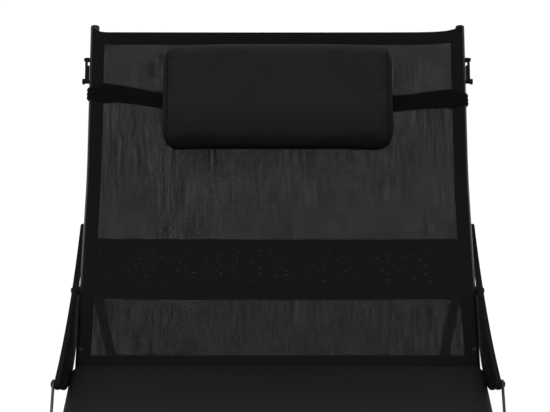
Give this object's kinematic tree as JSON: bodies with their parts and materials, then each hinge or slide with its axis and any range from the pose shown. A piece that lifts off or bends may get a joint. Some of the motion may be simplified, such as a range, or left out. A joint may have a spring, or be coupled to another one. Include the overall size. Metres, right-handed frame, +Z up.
{
  "type": "double chaise lounger",
  "caption": "Wide chaise lounger with a reclining mesh back, head pillow on elastic straps, padded seat, swinging arms and folding tube legs.",
  "frame": {"origin": "on the floor, under the centre of the whole box", "axes": "+Z up, +Y towards the head end, X across the width"},
  "size_m": [1.107, 1.7634, 1.0789],
  "materials": {
    "frame_paint": "black powder coat, satin",
    "hardware": "blackened steel, semi-gloss",
    "mesh_cloth": "black woven mesh",
    "pad_cloth": "black plain weave",
    "elastic": "black ribbed elastic",
    "black_plastic": "moulded black plastic",
    "arm_plastic": "textured black plastic",
    "rubber": "black rubber"
  },
  "bodies": {
    "base": {"side_rail_left": "frame_paint", "side_rail_right": "frame_paint", "foot_hoop": "frame_paint", "seat_crossbar_rear": "frame_paint", "seat_crossbar_front": "frame_paint", "seat_sling": "mesh_cloth", "seat_pad": "pad_cloth", "rail_caps": "black_plastic", "hinge_plate_left": "frame_paint", "hinge_plate_right": "frame_paint", "hinge_rivets": "hardware", "front_leg_bracket_left": "frame_paint", "front_leg_bracket_right": "frame_paint", "rear_leg_bracket_left": "frame_paint", "rear_leg_bracket_right": "frame_paint", "leg_bracket_rivets": "hardware", "leg_pivot_bolts": "hardware", "leg_pivot_nuts": "hardware", "post_bushes": "hardware", "post_pivot_bolts": "hardware"},
    "front_legs": {"front_leg_hoop": "frame_paint", "front_feet": "black_plastic"},
    "rear_legs": {"rear_leg_hoop": "frame_paint", "rear_feet": "black_plastic"},
    "back": {"back_tube_left": "frame_paint", "back_tube_right": "frame_paint", "back_crossbar_bottom": "frame_paint", "back_crossbar_middle": "frame_paint", "back_crossbar_top": "frame_paint", "back_sling": "mesh_cloth", "back_band": "mesh_cloth", "back_top_caps": "black_plastic", "back_end_plugs": "black_plastic", "hinge_bolts": "hardware", "hinge_nuts": "hardware", "arm_pivot_bolts": "hardware", "arm_pivot_nuts": "hardware", "arm_washers": "black_plastic", "ratchet_discs_back": "hardware", "accessory_bracket_left": "frame_paint", "accessory_bracket_right": "frame_paint", "bracket_bolts": "hardware", "bracket_spacers": "hardware", "sling_screws": "hardware"},
    "stand": {"back_stand": "frame_paint", "stand_feet": "rubber", "ratchet_discs_stand": "hardware"},
    "arm_left": {"armrest_left": "arm_plastic"},
    "arm_right": {"armrest_right": "arm_plastic"},
    "post_left": {"arm_post_left": "frame_paint", "post_arm_bolt_left": "hardware"},
    "post_right": {"arm_post_right": "frame_paint", "post_arm_bolt_right": "hardware"},
    "knob_left": {"bracket_knob_left": "black_plastic"},
    "knob_right": {"bracket_knob_right": "black_plastic"},
    "head_pillow": {"pillow": "pad_cloth", "strap_left": "elastic", "strap_right": "elastic", "strap_rear": "elastic"}
  },
  "joints": [
    {"name": "back_recline", "type": "hinge", "parent": "base", "child": "back", "pos_m": [0, 0.13078, 0.386], "axis": [1, 0, 0], "range_deg": [-36.3, 15]},
    {"name": "stand_fold", "type": "hinge", "parent": "back", "child": "stand", "pos_m": [0, 0.32017, 0.52512], "axis": [1, 0, 0], "range_deg": [-23, 55]},
    {"name": "front_leg_fold", "type": "hinge", "parent": "base", "child": "front_legs", "pos_m": [0, -0.72922, 0.322], "axis": [1, 0, 0], "range_deg": [0, 98]},
    {"name": "rear_leg_fold", "type": "hinge", "parent": "base", "child": "rear_legs", "pos_m": [0, 0.02078, 0.322], "axis": [1, 0, 0], "range_deg": [-98, 0]},
    {"name": "pillow_slide", "type": "slide", "parent": "back", "child": "head_pillow", "axis": [0, 0.6225, 0.7826], "range_m": [-0.024, 0]},
    {"name": "arm_pivot_left", "type": "hinge", "parent": "back", "child": "arm_left", "pos_m": [-0.537, 0.32017, 0.52512], "axis": [1, 0, 0], "range_deg": [-15, 36.3]},
    {"name": "post_pivot_left", "type": "hinge", "parent": "base", "child": "post_left", "pos_m": [-0.5475, -0.28922, 0.35], "axis": [1, 0, 0], "range_deg": [-36.3, 15]},
    {"name": "knob_turn_left", "type": "hinge", "parent": "back", "child": "knob_left", "pos_m": [-0.5407, 0.77174, 0.94471], "axis": [1, 0, 0], "continuous": true},
    {"name": "arm_pivot_right", "type": "hinge", "parent": "back", "child": "arm_right", "pos_m": [0.537, 0.32017, 0.52512], "axis": [1, 0, 0], "range_deg": [-15, 36.3]},
    {"name": "post_pivot_right", "type": "hinge", "parent": "base", "child": "post_right", "pos_m": [0.5475, -0.28922, 0.35], "axis": [1, 0, 0], "range_deg": [-36.3, 15]},
    {"name": "knob_turn_right", "type": "hinge", "parent": "back", "child": "knob_right", "pos_m": [0.5407, 0.77174, 0.94471], "axis": [1, 0, 0], "continuous": true}
  ],
  "couplings": [
    {"joint": "stand_fold", "follows": "back_recline", "ratio": -1.505},
    {"joint": "arm_pivot_left", "follows": "back_recline", "ratio": -1},
    {"joint": "post_pivot_left", "follows": "back_recline", "ratio": 1},
    {"joint": "arm_pivot_right", "follows": "back_recline", "ratio": -1},
    {"joint": "post_pivot_right", "follows": "back_recline", "ratio": 1}
  ]
}
